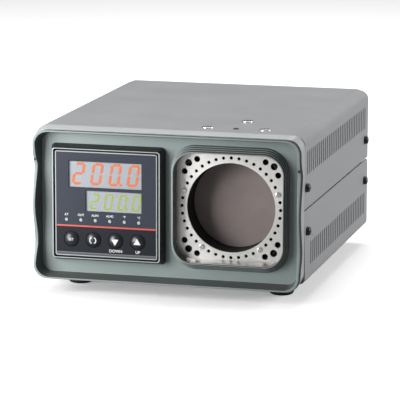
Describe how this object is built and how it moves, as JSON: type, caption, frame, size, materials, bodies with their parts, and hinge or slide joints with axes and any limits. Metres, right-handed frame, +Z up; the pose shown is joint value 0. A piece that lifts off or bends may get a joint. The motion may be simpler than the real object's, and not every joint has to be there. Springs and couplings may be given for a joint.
{
  "type": "infrared thermometer calibrator",
  "caption": "Bench blackbody source: grey steel case, heated matt target behind a perforated ring, square temperature controller.",
  "frame": {"origin": "on the table, under the middle of the bounding box", "axes": "+Z up, the front looks along -Y, +X to the right seen from the front"},
  "size_m": [0.1804, 0.212, 0.108],
  "materials": {
    "bezel_plastic": "fine satin, grey-green",
    "band_paint": "satin paint, pale grey",
    "cover_paint": "fine-textured satin paint, mid grey",
    "black_rubber": "matt",
    "black_steel": "satin black",
    "bright_screw": "bright",
    "black_plastic": "satin black",
    "rim_plastic": "satin grey",
    "overlay": "dark blue-grey printed film",
    "window_lens": "clear grey",
    "display_glass": "grey display",
    "lamp": "frosted",
    "key_plastic": "gloss black",
    "stainless": "bright rolled",
    "target_coat": "dead matt high-emissivity coating",
    "black_shroud": "matt black",
    "heater_alloy": "machined",
    "wool": "fibrous, off-white",
    "ceramic_post": "unglazed",
    "bare_steel": "zinc plated",
    "circuit_board": "green solder mask",
    "sink_alloy": "black anodised",
    "relay_plastic": "cream plastic",
    "pin_brass": "nickelled brass",
    "rocker_plastic": "gloss black"
  },
  "bodies": {
    "case": {"front_bezel": "bezel_plastic", "front_gasket": "black_rubber", "front_frame": "band_paint", "upper_cover": "cover_paint", "lower_cover": "cover_paint", "chassis_ring": "black_steel", "chassis_tray": "black_steel", "side_rail_left": "black_steel", "side_rail_right": "black_steel", "cover_screws": "black_steel", "top_screws": "bright_screw", "top_plug": "black_plastic", "foot_front_left": "black_rubber", "foot_front_right": "black_rubber", "foot_rear_left": "black_rubber", "foot_rear_right": "black_rubber", "foot_screws": "bare_steel", "controller_case": "black_plastic", "controller_rim": "rim_plastic", "controller_insert": "overlay", "upper_window": "window_lens", "lower_window": "window_lens", "upper_display": "display_glass", "lower_display": "display_glass", "indicator_lamps": "lamp", "key_switches": "black_plastic", "controller_board": "circuit_board", "controller_clamps": "black_plastic", "perforated_plate": "stainless", "plate_screws": "bright_screw", "sill_strip": "stainless", "target_shroud": "black_shroud", "target_disc": "target_coat", "heater_block": "heater_alloy", "heater_cartridges": "stainless", "temperature_probe": "stainless", "insulation_ring": "wool", "heat_shield": "bare_steel", "standoff_posts": "ceramic_post", "heater_bracket": "bare_steel", "heat_sink": "sink_alloy", "relay": "relay_plastic", "terminal_block": "black_plastic", "rear_panel": "cover_paint", "fan_frame": "black_plastic", "fan_guard": "bright_screw", "fan_screws": "black_steel", "mains_inlet": "black_plastic", "inlet_pins": "pin_brass", "switch_body": "black_plastic"},
    "key_set": {"key_set": "key_plastic"},
    "key_cycle": {"key_cycle": "key_plastic"},
    "key_down": {"key_down": "key_plastic"},
    "key_up": {"key_up": "key_plastic"},
    "fan_rotor": {"fan_rotor": "black_plastic"},
    "fuse_drawer": {"fuse_drawer": "black_plastic"},
    "power_rocker": {"power_rocker": "rocker_plastic"}
  },
  "joints": [
    {"name": "press_set", "type": "slide", "parent": "case", "child": "key_set", "axis": [0, 1, 0], "range_m": [0, 0.0007], "stiffness_N_per_m": 900},
    {"name": "press_cycle", "type": "slide", "parent": "case", "child": "key_cycle", "axis": [0, 1, 0], "range_m": [0, 0.0007], "stiffness_N_per_m": 900},
    {"name": "press_down", "type": "slide", "parent": "case", "child": "key_down", "axis": [0, 1, 0], "range_m": [0, 0.0007], "stiffness_N_per_m": 900},
    {"name": "press_up", "type": "slide", "parent": "case", "child": "key_up", "axis": [0, 1, 0], "range_m": [0, 0.0007], "stiffness_N_per_m": 900},
    {"name": "fan_spin", "type": "hinge", "parent": "case", "child": "fan_rotor", "pos_m": [0.0399, 0.0795, 0.059], "axis": [0, 1, 0], "continuous": true},
    {"name": "fuse_pull", "type": "slide", "parent": "case", "child": "fuse_drawer", "axis": [0, 1, 0], "range_m": [0, 0.018]},
    {"name": "power_switch", "type": "hinge", "parent": "case", "child": "power_rocker", "pos_m": [-0.012, 0.0905, 0.05], "axis": [1, 0, 0], "range_deg": [-20, 0]}
  ]
}
